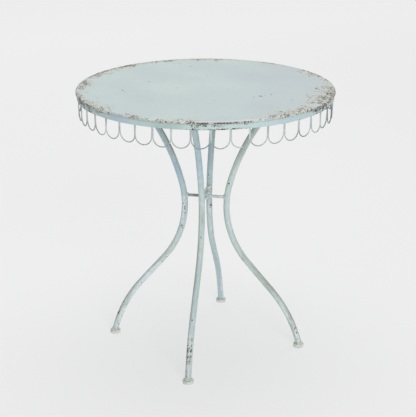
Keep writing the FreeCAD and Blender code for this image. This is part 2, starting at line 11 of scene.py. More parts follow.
# %% load the frame
import bpy
import numpy as np
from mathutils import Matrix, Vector


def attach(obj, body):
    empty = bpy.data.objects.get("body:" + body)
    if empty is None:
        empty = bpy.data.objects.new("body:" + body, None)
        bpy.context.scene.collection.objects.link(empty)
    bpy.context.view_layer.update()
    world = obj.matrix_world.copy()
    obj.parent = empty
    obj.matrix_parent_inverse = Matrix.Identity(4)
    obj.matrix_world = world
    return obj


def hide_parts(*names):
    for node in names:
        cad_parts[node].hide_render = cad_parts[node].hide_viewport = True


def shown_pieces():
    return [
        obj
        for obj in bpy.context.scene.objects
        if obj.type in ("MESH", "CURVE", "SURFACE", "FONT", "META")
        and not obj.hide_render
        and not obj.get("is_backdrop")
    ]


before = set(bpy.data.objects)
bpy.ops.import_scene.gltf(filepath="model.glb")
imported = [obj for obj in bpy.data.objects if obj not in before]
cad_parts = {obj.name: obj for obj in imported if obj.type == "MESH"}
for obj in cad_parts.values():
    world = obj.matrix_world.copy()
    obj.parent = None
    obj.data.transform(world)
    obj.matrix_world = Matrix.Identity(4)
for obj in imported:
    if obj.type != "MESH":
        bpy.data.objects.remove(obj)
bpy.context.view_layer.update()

# %% [markdown]
# ## A camera, a pale floor and soft light
#
# The table is seen from its front, a little to the right and above the top, with a long lens, so
# that the round top is a flat ellipse. A camera can be placed by eye, but a place, a direction and
# a focal length set as numbers say the same thing every time.

# %% the camera
CAMERA_PLACE = Vector((0.5429, -3.0432, 1.5263))
CAMERA_SIGHT = Vector((-0.16310, 0.92582, -0.34097))
LENS, SENSOR = 101.23, 36

scene = bpy.context.scene
camera_data = bpy.data.cameras.new("studio_camera")
camera_data.lens = LENS
camera_data.sensor_width = SENSOR
camera = bpy.data.objects.new("studio_camera", camera_data)
camera.location = CAMERA_PLACE
camera.rotation_euler = CAMERA_SIGHT.to_track_quat("-Z", "Y").to_euler()
scene.collection.objects.link(camera)
scene.camera = camera
scene.view_settings.view_transform = "Standard"
print("camera turned", [round(a, 4) for a in camera.rotation_euler])

# %% [markdown]
# Colours are chosen as the hex values that a paint shop shows. Blender's shaders work in linear
# light, so one function turns a hex value to that. One more adds any node with its settings and its
# links, so every finish below reads as a list of what it is made of. A noise is sized by the grain
# it should have on the metal, in millimetres.

# %% colours and nodes
SMOOTH = {"interpolation_type": "SMOOTHSTEP"}


def paint(code):
    """Linear red, green and blue of a hex colour, and 1: each byte over 255, sRGB curve undone."""
    byte = np.array([int(code[i:i + 2], 16) for i in (1, 3, 5)]) / 255
    light = np.where(byte <= 0.04045, byte / 12.92, ((byte + 0.055) / 1.055) ** 2.4)
    return (*light.tolist(), 1.0)


def add(tree, kind, settings=None, links=None):
    """Adds a shader node. A setting is a property, a socket's value, or a ramp's stops with their
    hex colours. A link brings in another node's first output, or the output given."""
    node = tree.nodes.new("ShaderNode" + kind)
    for key, value in (settings or {}).items():
        if key == "stops":
            ramp = node.color_ramp.elements
            while len(ramp) < len(value):
                ramp.new(0.5)
            for stop, (place, code) in zip(ramp, value):
                stop.position = place
                stop.color = paint(code)
        elif isinstance(key, str) and hasattr(node, key):
            setattr(node, key, value)
        else:
            node.inputs[key].default_value = value
    for key, source in (links or {}).items():
        tree.links.new(getattr(source, "outputs", [source])[0], node.inputs[key])
    return node


def new_finish(name):
    """A material whose nodes are cleared, and its tree."""
    finish = bpy.data.materials.new(name)
    finish.use_nodes = True
    finish.node_tree.nodes.clear()
    return finish, finish.node_tree


def per_mm(size):
    """The noise scale whose grains are about size mm across on Object coordinates in metres."""
    return 1000 / size


print("a mid grey in linear light:", [round(v, 3) for v in paint("#808080")[:3]])

# %% [markdown]
# The floor of a studio sweep is evenly lit from all round. A floor that only reflects goes dark
# under the top, so this one also gives off a little light of its own, more to the back and the
# left. It shows from above only: from below it lets the view through to the table's underside.

# %% the floor
FLOOR_HALF = 30.0
GLOW_WAY, GLOW_FROM, GLOW_TO = (-0.62, 1.0, 0.0), -1.0, 5.0
GLOW_NEAR, GLOW_FAR = 0.604, 0.738

floor_mesh = bpy.data.meshes.new("studio_floor")
corners = np.array([(-1, -1, 0), (1, -1, 0), (1, 1, 0), (-1, 1, 0)]) * FLOOR_HALF
floor_mesh.from_pydata(corners.tolist(), [], [(0, 1, 2, 3)])
floor = bpy.data.objects.new("studio_floor", floor_mesh)
scene.collection.objects.link(floor)
floor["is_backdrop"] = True

sweep, tree = new_finish("pale_studio_sweep")
matt = add(tree, "BsdfDiffuse", {"Color": paint("#888888")})
where = add(tree, "TexCoord")
slant = add(tree, "VectorMath", {"operation": "DOT_PRODUCT", 1: GLOW_WAY},
            {0: where.outputs["Object"]})
far = add(tree, "MapRange",
          {"From Min": GLOW_FROM, "From Max": GLOW_TO, "To Min": GLOW_NEAR, "To Max": GLOW_FAR},
          {"Value": slant.outputs["Value"]})
glow = add(tree, "Emission", {"Color": paint("#ffffff")}, {"Strength": far})
lit = add(tree, "AddShader", links={0: matt, 1: glow})
clear = add(tree, "BsdfTransparent")
side = add(tree, "NewGeometry")
both = add(tree, "MixShader", links={0: side.outputs["Backfacing"], 1: lit, 2: clear})
add(tree, "OutputMaterial", links={"Surface": both})
floor_mesh.materials.append(sweep)
print("floor is", 2 * FLOOR_HALF, "m wide")

# %% [markdown]
# Two soft boxes would light the table, but thin bars also mirror what stands round them. So the air
# gives light too, by direction: a fair amount ahead and above, less at the two sides, which gives
# tubes and wires their darker edges, and a pale band near the horizon, beyond the floor's end.

# %% the air
AIR_AHEAD, AIR_SIDES, AIR_HORIZON = 0.53, 0.10, 0.74

world = bpy.data.worlds.new("studio_air")
scene.world = world
world.use_nodes = True
tree = world.node_tree
air = tree.nodes["Background"]
air.inputs["Color"].default_value = paint("#f2f4f5")
air_place = add(tree, "TexCoord")
air_way = add(tree, "SeparateXYZ", links={0: air_place.outputs["Generated"]})
air_side = add(tree, "Math", {"operation": "ABSOLUTE"}, {0: air_way.outputs["X"]})
by_side = {"From Min": 0.25, "From Max": 0.95, "To Min": AIR_AHEAD, "To Max": AIR_SIDES}
air_level = add(tree, "MapRange", {**by_side, **SMOOTH}, {"Value": air_side})
by_height = {"From Min": 0.16, "From Max": 0.30, "To Min": AIR_HORIZON, "To Max": 0.0}
air_low = add(tree, "MapRange", {**by_height, **SMOOTH}, {"Value": air_way.outputs["Z"]})
air_most = add(tree, "Math", {"operation": "MAXIMUM"}, {0: air_level, 1: air_low})
tree.links.new(air_most.outputs[0], air.inputs["Strength"])
print("air from", AIR_SIDES, "at the sides to", AIR_HORIZON, "at the horizon")


# %% the soft boxes
def soft_box(name, place, target, size, watts):
    """A square area light at place, turned to face target, size metres wide and of that power."""
    data = bpy.data.lights.new(name, "AREA")
    data.size = size
    data.energy = watts
    lamp = bpy.data.objects.new(name, data)
    lamp.location = place
    lamp.rotation_euler = (Vector(target) - Vector(place)).to_track_quat("-Z", "Y").to_euler()
    scene.collection.objects.link(lamp)


soft_box("key_soft_box", place=(2.0, -4.0, 2.6), target=(0, 0, 0.45), size=2.0, watts=118)
soft_box("top_soft_box", place=(0.0, 0.6, 3.6), target=(0, 0, 0.75), size=2.6, watts=51)

# %% [markdown]
# ## Surfaces worked out with numpy
#
# Nearly every part of this table is a bar or a wire that was bent, or a disc that was spun. Both
# are a grid of points: outlines one after another along a line or round an axis. One function turns
# such a grid into a closed mesh, and carries values to its points that the finishes read as wear
# and tint.

# %% values kept on the points
MM = 0.001
UP = np.array([0, 0, 1.0])


def keep_mark(mesh, key, value, shape, looped):
    """Writes a grid of numbers or directions as a point attribute; an end takes its ring's mean."""
    value = np.asarray(value, float)
    wide = value.ndim >= 3 and value.shape[-1] == 3
    value = np.broadcast_to(value, (*shape, 3) if wide else shape)
    flat = value.reshape(shape[0], shape[1] * shape[2], -1)
    if not looped:
        ends = value[:, [0, -1]].mean(2).reshape(shape[0], 2, -1)
        flat = np.concatenate([flat, ends], axis=1)
    kind, slot = ("FLOAT_VECTOR", "vector") if wide else ("FLOAT", "value")
    mark = mesh.attributes.new(key, kind, "POINT")
    mark.data.foreach_set(slot, flat.ravel().astype(np.float32))


print("a millimetre is", MM, "m")


# %% a grid of outlines becomes a closed skin
def skin(name, rings, looped=False, **marks):
    """A mesh from rings, an array in mm: (shells, rings, points, 3), or without shells for one.

    Neighbouring points of neighbouring rings make four-sided faces. The points of a ring close
    round. A looped shell also closes from its last ring to its first; any other gets a point in the
    middle of each end ring. The signed volume, a third of the sum of each face's height times its
    area, says if the faces look outwards. Marks are values on the same grid, kept as point
    attributes of the same name."""
    rings = rings[None] if rings.ndim == 3 else rings
    shells, rows, around, _ = rings.shape
    index = np.arange(rows * around).reshape(rows, around)
    beyond = np.roll(index, -1, axis=1)
    last = rows if looped else rows - 1
    ahead = np.roll(index, -1, axis=0)
    ahead_beyond = np.roll(beyond, -1, axis=0)
    quads = np.stack([index, beyond, ahead_beyond, ahead], -1)[:last].reshape(-1, 4)
    points = rings.reshape(shells, -1, 3)
    per_shell = rows * around
    tris = np.zeros((0, 3), int)
    if not looped:
        points = np.concatenate([points, rings[:, [0, -1]].mean(2)], axis=1)
        low = np.stack([np.full(around, per_shell), beyond[0], index[0]], -1)
        high = np.stack([np.full(around, per_shell + 1), index[-1], beyond[-1]], -1)
        tris = np.concatenate([low, high])
        per_shell += 2
    halves = np.concatenate([quads[:, [0, 1, 2]], quads[:, [0, 2, 3]], tris])
    a, b, c = (points[0][halves[:, k]] for k in range(3))
    if np.einsum("ij,ij->i", a, np.cross(b, c)).sum() < 0:
        quads, tris = quads[:, ::-1], tris[:, ::-1]
    step = np.arange(shells)[:, None, None] * per_shell
    faces = (quads[None] + step).reshape(-1, 4).tolist()
    faces += (tris[None] + step).reshape(-1, 3).tolist()
    mesh = bpy.data.meshes.new(name)
    mesh.from_pydata((points.reshape(-1, 3) * MM).tolist(), [], faces)
    mesh.polygons.foreach_set("use_smooth", np.ones(len(faces), bool))
    for key, value in marks.items():
        keep_mark(mesh, key, value, (shells, rows, around), looped)
    mesh.validate()
    piece = bpy.data.objects.new(name, mesh)
    scene.collection.objects.link(piece)
    return piece


print("helpers ready: keep_mark, skin")

# %% [markdown]
# A bent bar is an outline carried along a line. Every bar here bends in one flat plane, so the
# outline never twists: one side direction is the plane's normal, and the other is at right angles
# to it and to the line. Handmade metal is never quite even, so slow waves in random but seeded
# directions give it a ripple.

# %% bars, discs and directions
def turned(profile, steps):
    """Points (radius, height) turned about Z: x = r cos a, y = r sin a for even angles a."""
    angle = np.arange(steps) * 2 * np.pi / steps
    r, z = profile.T
    x, y = r[:, None] * np.cos(angle), r[:, None] * np.sin(angle)
    return np.stack([x, y, np.broadcast_to(z[:, None], x.shape)], -1)


def bar(line, flat, radius, sides):
    """Circles along a line that lies in a plane with normal flat.

    A point is line + r (cos a times side + sin a times flat), side being the line's direction
    crossed with flat."""
    ahead = np.gradient(line, axis=-2)
    ahead /= np.linalg.norm(ahead, axis=-1, keepdims=True)
    side = np.cross(ahead, np.broadcast_to(flat, line.shape))
    angle = np.arange(sides) * 2 * np.pi / sides
    across = np.cos(angle)[:, None] * side[..., None, :]
    return line[..., None, :] + radius * (across + np.sin(angle)[:, None] * flat[..., None, :])


def arc(centre, radius, start, stop, count):
    """Points on a circle from one angle to another, in degrees, without the first."""
    angle = np.radians(np.linspace(start, stop, count + 1)[1:])
    x, z = centre[0] + radius * np.cos(angle), centre[1] + radius * np.sin(angle)
    return np.stack([x, z], -1)


def compass(degrees):
    """The level direction at that angle from +X, and the level one at right angles to it."""
    out = np.array([np.cos(np.radians(degrees)), np.sin(np.radians(degrees)), 0])
    return out, np.array([-out[1], out[0], 0])


SIDES = {"right": 0, "back": 90, "left": 180, "front": 270}
print("the legs stand at", SIDES)


# %% ripples and smooth steps
def ripple(points, wavelength, seed, waves=24):
    """A smooth random number for each point, about -1 to 1: a sum of seeded sine waves."""
    draw = np.random.default_rng(seed)
    way = draw.normal(size=(waves, 3))
    way /= np.linalg.norm(way, axis=1, keepdims=True)
    length = wavelength * draw.uniform(0.7, 1.6, waves)
    start = draw.uniform(0, 2 * np.pi, waves)
    turns = points @ (way * (2 * np.pi / length)[:, None]).T
    return np.sin(turns + start).sum(-1) / np.sqrt(waves) / 1.4


def rise(value, low, high):
    """Goes smoothly from 0 at low to 1 at high: 3t^2 - 2t^3."""
    t = np.clip((value - low) / (high - low), 0, 1)
    return t * t * (3 - 2 * t)


print("ripple at the middle:", round(float(ripple(np.zeros(3), 80, 1)), 3))

# %% [markdown]
# ## Old enamel that has chipped
#
# The table is mild steel, brushed with a cream primer and then a duck-egg blue enamel. Where hands,
# weather and knocks reach it, the enamel thins to the primer, then breaks through to brown rust and
# dark bare steel. The eye sees a calm satin colour that drifts a little, pale halos, and small
# rough dark chips.
#
# A painted image would be fixed to one view and one size. Noise compared with a mark that says how
# worn each spot is gives chips of a true size all over, thick where the mark is high.
#
# The coat comes first. Its colour goes by the mark "tint" and drifts in broad patches, a finer
# cloud makes it lighter and darker as brush marks do, and the mark "pale" rubs it thin.

# %% the brushed coat
CLOUD_GRAIN, RUB_GRAIN = 9.0, 13.0
RUBBED_AT = {"From Min": 0.70, "From Max": 0.95, **SMOOTH}


def brushed_coat(tree, here, tint, pale, tints, grain, drift, patch):
    """The coat's colour, its fine cloud, the gain that the cloud gives it, and how rubbed it is."""
    broad = add(tree, "TexNoise", {"Scale": per_mm(patch), "Detail": 3.0, "Roughness": 0.5}, here)
    shift = add(tree, "Math", {"operation": "MULTIPLY_ADD", 1: drift, 2: -drift / 2}, {0: broad})
    shade = add(tree, "Math", {"operation": "ADD", "use_clamp": True}, {0: tint, 1: shift})
    enamel = add(tree, "ValToRGB", {"stops": [*zip((0.0, 0.5, 1.0), tints)]}, {"Fac": shade})
    cloud = add(tree, "TexNoise",
                {"Scale": per_mm(CLOUD_GRAIN), "Detail": 4.0, "Roughness": 0.6}, here)
    gain = add(tree, "MapRange",
               {"From Min": 0.3, "From Max": 0.7, "To Min": 1 - grain, "To Max": 1 + grain},
               {"Value": cloud})
    rubbed = add(tree, "TexNoise",
                 {"Scale": per_mm(RUB_GRAIN), "Detail": 5.0, "Roughness": 0.6}, here)
    rub_depth = add(tree, "Math", {"operation": "MULTIPLY_ADD", 1: 0.6}, {0: pale, 2: rubbed})
    rub = add(tree, "MapRange", RUBBED_AT, {"Value": rub_depth})
    return enamel, cloud, gain, rub


print("rubbed through from", RUBBED_AT["From Min"], "to", RUBBED_AT["From Max"])

# %% [markdown]
# The chips are a fine noise, gathered into groups by one five times coarser and pulled up by the
# mark "worn". The higher it gets, the deeper the layer that shows: first the thin primer, then
# rust, then dark steel.

# %% how deep the chips go
PRIMER_AT, RUST_AT, STEEL_AT = (0.70, 0.76), (0.750, 0.790), (0.860, 0.905)
GROUP_PULL, WORN_PULL = 0.34, 0.30


def chip_depth(tree, here, worn, wear, chip):
    """How far each spot is through to primer, rust and steel: noise + groups + worn, in steps."""
    grit = add(tree, "TexNoise", {"Scale": per_mm(chip), "Detail": 5.0, "Roughness": 0.62}, here)
    group = add(tree, "TexNoise",
                {"Scale": per_mm(chip * 5), "Detail": 2.0, "Roughness": 0.5}, here)
    eager = add(tree, "Math",
                {"operation": "MULTIPLY_ADD", 1: GROUP_PULL, 2: wear - GROUP_PULL / 2}, {0: group})
    pull = add(tree, "Math", {"operation": "MULTIPLY_ADD", 1: WORN_PULL}, {0: worn, 2: eager})
    depth = add(tree, "Math", {"operation": "ADD"}, {0: grit, 1: pull})
    return [add(tree, "MapRange", {"From Min": low, "From Max": high, **SMOOTH}, {"Value": depth})
            for low, high in (PRIMER_AT, RUST_AT, STEEL_AT)]


print("rust shows from", RUST_AT[0], "and steel from", STEEL_AT[0])

# %% [markdown]
# The whole finish lays these over each other. It can follow an attribute and not Object
# coordinates, so that strokes run along a bent tube, and it can be drawn out along one axis, as on
# the top, which was brushed from front to back.

# %% the enamel's recipe
RUST_GRAIN = 6.0


def chipped_enamel(name, tints, wear=0.0, chip=3.0, rust=("#aaa79e", "#918a80", "#7a6e62"),
                   dark="#584c40", gloss=0.48, grain=0.10, primer="#cdd2cb", halo="#dbdfd9",
                   drift=0.5, patch=70.0, place_mark=None, stretch=None):
    """Satin enamel over primer over steel, with chips about chip mm across.

    tints are its colours from tint 0 to 1, and wear is added to the mark "worn" all over. Places
    come from the attribute place_mark if there is one, and stretch scales their axes."""
    finish, tree = new_finish(name)
    if place_mark:
        place = add(tree, "Attribute", {"attribute_name": place_mark}).outputs["Vector"]
    else:
        place = add(tree, "TexCoord").outputs["Object"]
    if stretch:
        mapping = add(tree, "Mapping", {"Scale": stretch}, {"Vector": place})
        place = mapping.outputs["Vector"]
    here = {"Vector": place}
    tint, worn, pale = (add(tree, "Attribute", {"attribute_name": mark}).outputs["Fac"]
                        for mark in ("tint", "worn", "pale"))
    enamel, cloud, gain, rub = brushed_coat(tree, here, tint, pale, tints, grain, drift, patch)
    thin, rusted, bare = chip_depth(tree, here, worn, wear, chip)

    rust_tone = add(tree, "TexNoise", {"Scale": per_mm(RUST_GRAIN), "Detail": 3.0}, here)
    rusty = add(tree, "ValToRGB", {"stops": [*zip((0.38, 0.5, 0.62), rust)]}, {"Fac": rust_tone})
    rubbed_coat = add(tree, "Mix", {"data_type": "RGBA", 7: paint(primer)}, {0: rub, 6: enamel})
    brushed = add(tree, "VectorMath", {"operation": "SCALE"},
                  {0: rubbed_coat.outputs[2], "Scale": gain})
    first = add(tree, "Mix", {"data_type": "RGBA", 7: paint(halo)}, {0: thin, 6: brushed})
    second = add(tree, "Mix", {"data_type": "RGBA"}, {0: rusted, 6: first.outputs[2], 7: rusty})
    third = add(tree, "Mix", {"data_type": "RGBA", 7: paint(dark)}, {0: bare, 6: second.outputs[2]})

    coarse = add(tree, "MapRange", {"To Min": gloss, "To Max": 0.86}, {"Value": rusted})
    level = add(tree, "Math", {"operation": "MULTIPLY_ADD", 1: -0.7}, {0: rusted, 2: cloud})
    relief = add(tree, "Bump", {"Strength": 0.35, "Distance": 0.0006}, {"Height": level})
    shell = add(tree, "BsdfPrincipled", {"IOR": 1.5, "Metallic": 0.0},
                {"Base Color": third.outputs[2], "Roughness": coarse, "Normal": relief})
    add(tree, "OutputMaterial", links={"Surface": shell})
    return finish


print("recipe ready: chipped_enamel")


# %% how a piece is dressed
def coat(piece, finish):
    """The piece's one material is that finish."""
    piece.data.materials.clear()
    piece.data.materials.append(finish)


def dress(piece, finish, slot, *nodes):
    """The piece gets its finish, rides on the table's one body, and stands for frame nodes."""
    coat(piece, finish)
    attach(piece, "root")
    if nodes:
        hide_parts(*nodes)


# %% [markdown]
# ## The round top
#
# The top is one disc of 1.5 mm sheet whose edge was pressed down over a 6 mm bend into a short lip.
# A flat cylinder would have a hard edge and a dead flat face. Turning the sheet's own section about
# the axis gives the bend and the lip, and a slow ripple of up to half a millimetre lets the face
# catch the light unevenly, as welded sheet does. The rings crowd towards the edge, where the shape
# and the wear are.

# %% the top's section
ROUND = 440
TOP_EDGE, TOP_HEIGHT, GAUGE, BEND, LIP_END = 350.0, 755.0, 1.5, 6.0, 748.0
FACE_RINGS, BEND_RINGS, INNER_BEND_RINGS, UNDER_RINGS, UNDER_HUB = 78, 8, 5, 29, 8

bend_centre = (TOP_EDGE - BEND, TOP_HEIGHT - BEND)
face_r = bend_centre[0] * np.sin(np.linspace(0.02, 1.0, FACE_RINGS) * np.pi / 2)
face = np.stack([face_r, np.full(FACE_RINGS, TOP_HEIGHT)], -1)
lip = [(TOP_EDGE, LIP_END), (TOP_EDGE - 0.5, LIP_END), (TOP_EDGE - GAUGE, LIP_END)]
under_z = TOP_HEIGHT - GAUGE
under = np.linspace((bend_centre[0], under_z), (UNDER_HUB, under_z), UNDER_RINGS + 1)[1:]
section = np.concatenate([face, arc(bend_centre, BEND, 90, 0, BEND_RINGS), lip,
                          arc(bend_centre, BEND - GAUGE, 0, 90, INNER_BEND_RINGS), under])
top_grid = turned(section, ROUND)
print("rings in the top:", len(section), "points:", top_grid.shape[0] * ROUND)

# %% [markdown]
# Wear follows use. It gathers along the rim in stretches, deep at the two sides that people sit at,
# thin at the back, and a line of rust creeps along the front edge where water hangs. A stretch is
# written as where it is round the rim, how far it spreads, how far it reaches inwards and how
# strong it is, and a speck on the face as how far out it is, at what angle and how wide.

# %% where the rim has worn
BRUSHED = (1.0, 0.62, 1.0)
RIM_WEAR = [
    (186, 12, 42, 0.92), (207, 12, 22, 0.78), (224, 15, 42, 0.76), (249, 7, 24, 0.84),
    (262, 8, 12, 0.80), (272, 7, 36, 0.82), (303, 8, 18, 0.70), (314, 9, 44, 0.84),
    (327, 8, 48, 0.84), (347, 13, 70, 0.88), (4, 13, 56, 0.86), (22, 10, 24, 0.78),
    (37, 11, 32, 0.98), (66, 12, 20, 0.95), (98, 18, 26, 1.02), (120, 16, 30, 0.92),
    (142, 15, 36, 0.95), (162, 14, 38, 0.93),
]
RUST_LINE = [
    (288, 16, 9, 1.14), (277, 7, 9, 1.12), (262, 8, 9, 0.90), (342, 20, 9, 1.15),
    (218, 20, 9, 1.00), (315, 10, 9, 0.90), (180, 22, 9, 1.10), (4, 14, 9, 1.10),
    (60, 40, 9, 0.95), (120, 30, 9, 0.9),
]
FACE_SPECKS = [
    (227, -161, 8), (221, -156, 6), (166, 169, 7), (193, -126, 5), (174, -25, 9), (167, -31, 7),
    (183, -22, 6), (192, -15, 6), (4, 0, 7), (65, -15, 6), (129, 135, 7), (135, 92, 6),
    (128, 97, 6), (172, -116, 6), (77, -163, 6), (150, -70, 4), (205, 60, 5), (250, 110, 5),
]


def stretches(angle, inward, table):
    """The strongest of several worn stretches: each falls off with the angle and with depth.

    Each row is (middle in degrees, half width in degrees, reach inwards in mm, strength). The
    fall-off is exp(-(a / half width)^4) times exp(-(depth / reach)^3)."""
    found = np.zeros(np.broadcast(angle, inward).shape)
    for middle, half, reach, strength in table:
        away = (angle - middle + 180) % 360 - 180
        depth = np.exp(-(inward / reach).clip(0) ** 3.0)
        found = np.maximum(found, strength * np.exp(-np.abs(away / half) ** 4) * depth)
    return found


print("stretches:", len(RIM_WEAR), "and", len(RUST_LINE), "of rust; specks:", len(FACE_SPECKS))


# %% the wear of the top
def top_wear(points):
    """Chips and rubbing at points of the top: stretches, a thin line round the bend, and specks."""
    x, y, z = points[..., 0], points[..., 1], points[..., 2]
    radius, angle = np.hypot(x, y), np.degrees(np.arctan2(y, x))
    strokes = points * BRUSHED
    ragged = 1 + 0.38 * ripple(strokes, 30, 5) + 0.30 * ripple(strokes, 11, 6)
    inward = (TOP_EDGE - radius) * ragged.clip(0.3)
    worn = stretches(angle, inward, RIM_WEAR)
    pale = 0.88 * stretches(angle, inward * 0.82, RIM_WEAR)
    low_bend = 1 - rise(z, 751.8, 754.4)
    line = np.maximum(stretches(angle, 0 * radius, RUST_LINE), 0.66 + 0.12 * ripple(points, 40, 9))
    line = line * (1 + 0.10 * ripple(points, 14, 10))
    worn = np.maximum(worn, line * low_bend)
    pale = np.maximum(pale, 0.22 * rise(radius, 343.0, 347.0))
    for reach, degrees, size in FACE_SPECKS:
        at = reach * compass(degrees)[0]
        near = np.exp(-((x - at[0]) ** 2 + (y - at[1]) ** 2) / size ** 2)
        worn = np.maximum(worn, 1.05 * near)
    above = z > TOP_HEIGHT - GAUGE / 2 - BEND
    return np.where(above, worn, 0.3), np.where(above, pale, 0.4)


top_worn, top_pale = top_wear(top_grid)
print("share of the top that is worn:", round(float((top_worn > 0.4).mean()), 3))

# %% the top itself
DEEPEST_SAG, DEEPEST_DING = 0.5, 0.35

top_radius = np.hypot(top_grid[..., 0], top_grid[..., 1])
calm = 1 - rise(top_radius, 300, 342)
sag = 0.22 * (1 + ripple(top_grid * [1, 1, 0], 150, 3)).clip(0) * calm
top_grid[..., 2] -= sag.clip(0, DEEPEST_SAG)
ding = DEEPEST_DING * rise(ripple(top_grid, 45, 4), 0.2, 1.2) * rise(top_radius, 344, 349)
top_grid[..., :2] *= (1 - ding / TOP_EDGE)[..., None]
top_tint = 0.22 + 0.15 * ripple(top_grid * [1, 1, 0], 200, 12) + 0.22 * top_grid[..., 0] / TOP_EDGE
top_tint = np.maximum(top_tint.clip(0, 0.48), 0.66 * rise(top_radius, 344.5, 348.5))
underneath = np.arange(len(section))[:, None] > len(face) + BEND_RINGS + len(lip)
top_tint = np.where(underneath, 1.0, top_tint)
table_top = skin("table_top", top_grid, worn=top_worn, pale=top_pale, tint=top_tint)
top_enamel = chipped_enamel(
    "duck_egg_enamel_on_sheet", ["#c5d4d1", "#bdc5c9", "#87979b"], chip=3.5, grain=0.022,
    drift=0.26, patch=85.0, gloss=0.52, primer="#c5cac4", halo="#ced3ce",
    rust=("#98928a", "#7c7264", "#645643"), dark="#50463a", stretch=BRUSHED)
dress(table_top, top_enamel, "top_enamel", "top_sheet")
print("top:", len(table_top.data.polygons), "faces")

# %% [markdown]
# ## The flat band under the edge
#
# A strip of 2 mm flat bar was rolled into a hoop and welded inside the lip. Rolling left its edges
# a little rounded, and it wavers by a fraction of a millimetre, so light runs along it unevenly.
# The hoop is its section, a rounded rectangle, turned about the axis and closed on itself.

# %% the band's section
BAND_IN, BAND_OUT, BAND_LOW, BAND_HIGH, BAND_CORNER = 345.0, 347.0, 733.0, 752.35, 0.6
CORNER_STEPS, FLAT_STEPS = 3, 7

inner, outer = BAND_IN + BAND_CORNER, BAND_OUT - BAND_CORNER
low, high = BAND_LOW + BAND_CORNER, BAND_HIGH - BAND_CORNER
band_section = np.concatenate([
    arc((inner, low), BAND_CORNER, 180, 270, CORNER_STEPS),
    arc((outer, low), BAND_CORNER, 270, 360, CORNER_STEPS),
    np.linspace((BAND_OUT, low), (BAND_OUT, high), FLAT_STEPS + 2)[1:-1],
    arc((outer, high), BAND_CORNER, 0, 90, CORNER_STEPS),
    arc((inner, high), BAND_CORNER, 90, 180, CORNER_STEPS),
    np.linspace((BAND_IN, low), (BAND_IN, high), FLAT_STEPS + 2)[-2:0:-1],
])
band_grid = turned(band_section, ROUND)
waver = 0.35 * ripple(band_grid * [1, 1, 0.2], 120, 21)
band_grid[..., :2] *= (1 + waver / BAND_OUT)[..., None]
print("band:", band_grid.shape[0] * ROUND, "points")

# %% [markdown]
# The band is chipped from both edges: from the lip above it, which catches water, and from below.
# The rows are written as for the rim. Some stretches were touched up and are bluer or duller.

# %% the band
UPPER_CHIPS = [
    (203, 12, 14, 0.95), (218, 13, 13, 1.0), (232, 6, 8, 0.7), (277, 5, 10, 0.88),
    (285, 8, 9, 0.95), (296, 8, 7, 0.85), (318, 9, 6, 0.6), (338, 12, 13, 1.02),
    (355, 10, 10, 0.8), (100, 40, 5, 0.7), (180, 12, 10, 0.8),
]
LOWER_CHIPS = [
    (216, 12, 5, 1.0), (276, 4, 6, 1.08), (289, 14, 4, 1.08), (318, 8, 3, 0.7),
    (342, 14, 5, 1.05), (150, 20, 4, 0.7), (60, 25, 4, 0.7), (195, 10, 4, 0.8), (240, 12, 3, 0.6),
]
BLUER = [(243, 6, 9, 0.50), (312, 11, 9, 0.25), (100, 30, 9, 0.4)]
DULLER = [(265, 7, 9, 0.40), (205, 14, 9, 0.2)]

band_angle = np.degrees(np.arctan2(band_grid[..., 1], band_grid[..., 0]))
from_lip = (LIP_END - band_grid[..., 2]).clip(0)
from_foot = (band_grid[..., 2] - BAND_LOW).clip(0)
band_worn = np.maximum(stretches(band_angle, from_lip, UPPER_CHIPS),
                       stretches(band_angle, from_foot, LOWER_CHIPS))
band_worn = band_worn * (1 + 0.35 * ripple(band_grid, 14, 22))
band_blue, band_dull = (stretches(band_angle, 0 * band_angle, table) for table in (BLUER, DULLER))
band_tint = 0.44 + 0.16 * ripple(band_grid * [1, 1, 0], 150, 27) + band_blue - band_dull
rim_band = skin("rim_band_hoop", band_grid, looped=True, worn=band_worn, tint=band_tint)
band_enamel = chipped_enamel(
    "aqua_enamel_on_flat_bar", ["#a7bcb8", "#b6cbca", "#b1c3ce"], grain=0.04, drift=0.4,
    dark="#2f2d2a", halo="#ccd5d3", rust=("#7f7e78", "#5d5b56", "#45423d"))
dress(rim_band, band_enamel, "rim_enamel", "rim_band")
print("band:", len(rim_band.data.polygons), "faces")

# %% [markdown]
# ## The fringe of wire loops
#
# Forty-four flat U's of 2.8 mm wire hang side by side from the inside of the band: two straight
# shanks and a half circle each, as wire bent round a pin comes out. Bezier curves with a bevel
# would make them one by one. As an array, all the loops are one sum: the point on the U, times the
# direction across, plus the loop's place on the ring. Seeded play keeps them handmade.

# %% the line of every loop
LOOPS, LOOP_PITCH = 44, 360 / 44
WIRE_RADIUS, TIP_RADIUS, TIP_HEIGHT, LOOP_BOTTOM = 1.4, 343.55, 745.0, 682.5
LOOP_HALF = TIP_RADIUS * np.sin(np.radians(LOOP_PITCH / 2)) - 1.45
LOOP_PLANE = np.sqrt(TIP_RADIUS ** 2 - LOOP_HALF ** 2)
BEND_HEIGHT = LOOP_BOTTOM + WIRE_RADIUS + LOOP_HALF
SHANK_STEPS, BOW_STEPS = 5, 21

shank = np.linspace(TIP_HEIGHT, BEND_HEIGHT, SHANK_STEPS + 1)[:-1]
bow = np.radians(np.linspace(180, 360, BOW_STEPS))
loop_u = np.concatenate([np.full(SHANK_STEPS, -LOOP_HALF), LOOP_HALF * np.cos(bow),
                         np.full(SHANK_STEPS, LOOP_HALF)])
loop_z = np.concatenate([shank, BEND_HEIGHT + LOOP_HALF * np.sin(bow), shank[::-1]])


